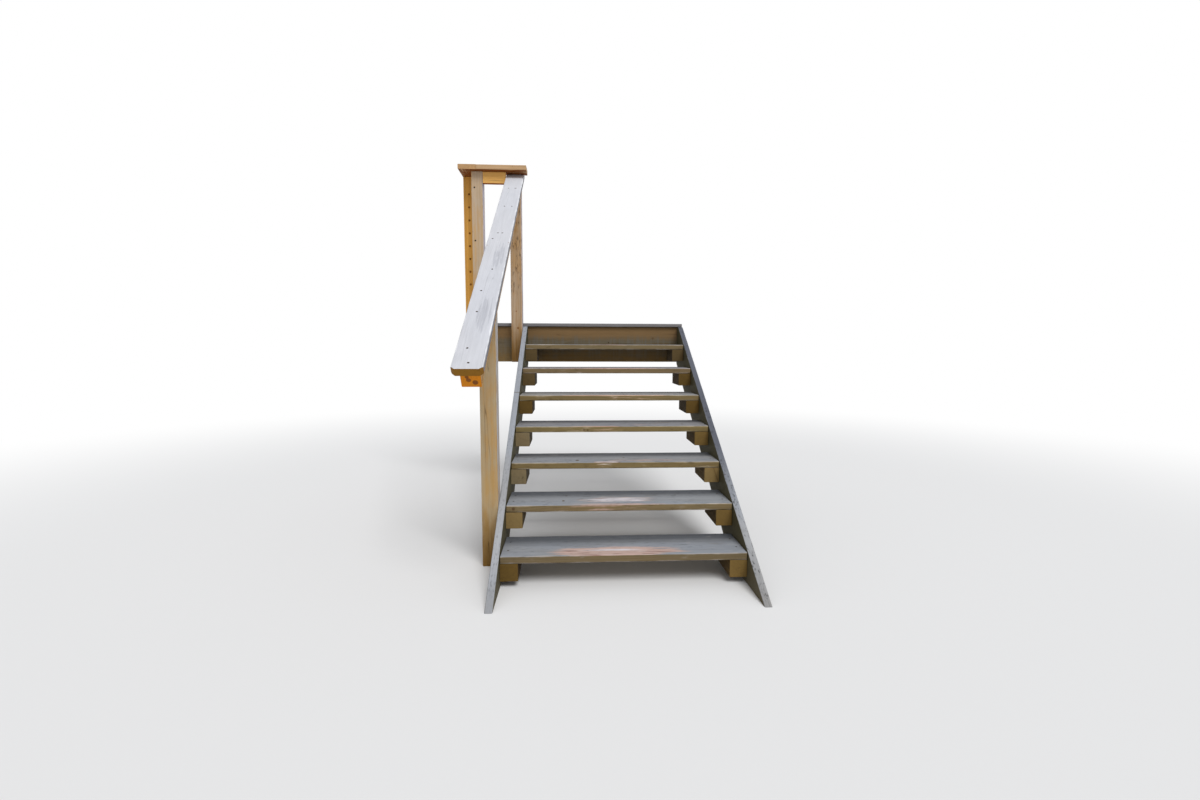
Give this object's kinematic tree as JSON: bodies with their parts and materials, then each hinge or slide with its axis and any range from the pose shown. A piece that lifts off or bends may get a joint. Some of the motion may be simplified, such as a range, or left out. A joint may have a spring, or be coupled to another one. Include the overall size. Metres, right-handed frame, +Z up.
{
  "type": "wooden deck stairs",
  "caption": "Straight flight of open plank treads between two stringers, hung on a deck rim board, with a timber handrail on the left ending at a short deck guard.",
  "frame": {"origin": "on the rim board's back face, midway between the stringers and halfway up the board", "axes": "+X to the right for someone going up, +Y from the flight into the deck, +Z up"},
  "size_m": [1.783, 2.391, 2.5712],
  "materials": {
    "stringer": "softwood plank, grey weathered stain worn thin along the top edge",
    "tread": "softwood plank, blue-grey stain worn to pinkish wood where feet land",
    "cleat": "treated softwood block, sawn, ochre brown",
    "rim": "treated softwood plank, olive brown",
    "edge_board": "softwood deck board, grey stain",
    "post": "treated softwood post, straw yellow, knots and grain showing",
    "golden": "fresh treated softwood, golden, satin",
    "handrail_cap": "softwood plank, sun bleached grey white top with golden cut ends"
  },
  "bodies": {
    "root": {"left_stringer": "stringer", "right_stringer": "stringer", "tread_1": "tread", "tread_2": "tread", "tread_3": "tread", "tread_4": "tread", "tread_5": "tread", "tread_6": "tread", "tread_7": "tread", "left_cleat_1": "cleat", "left_cleat_2": "cleat", "left_cleat_3": "cleat", "left_cleat_4": "cleat", "left_cleat_5": "cleat", "left_cleat_6": "cleat", "left_cleat_7": "cleat", "right_cleat_1": "cleat", "right_cleat_2": "cleat", "right_cleat_3": "cleat", "right_cleat_4": "cleat", "right_cleat_5": "cleat", "right_cleat_6": "cleat", "right_cleat_7": "cleat", "rim_board": "rim", "side_rim_board": "rim", "deck_edge_board": "edge_board", "lower_post": "post", "upper_post": "post", "corner_post": "post", "side_post": "golden", "handrail_bearer": "golden", "guard_bearer": "golden", "guard_cap": "golden", "side_guard_cap": "golden", "handrail_cap": "handrail_cap"}
  },
  "joints": []
}
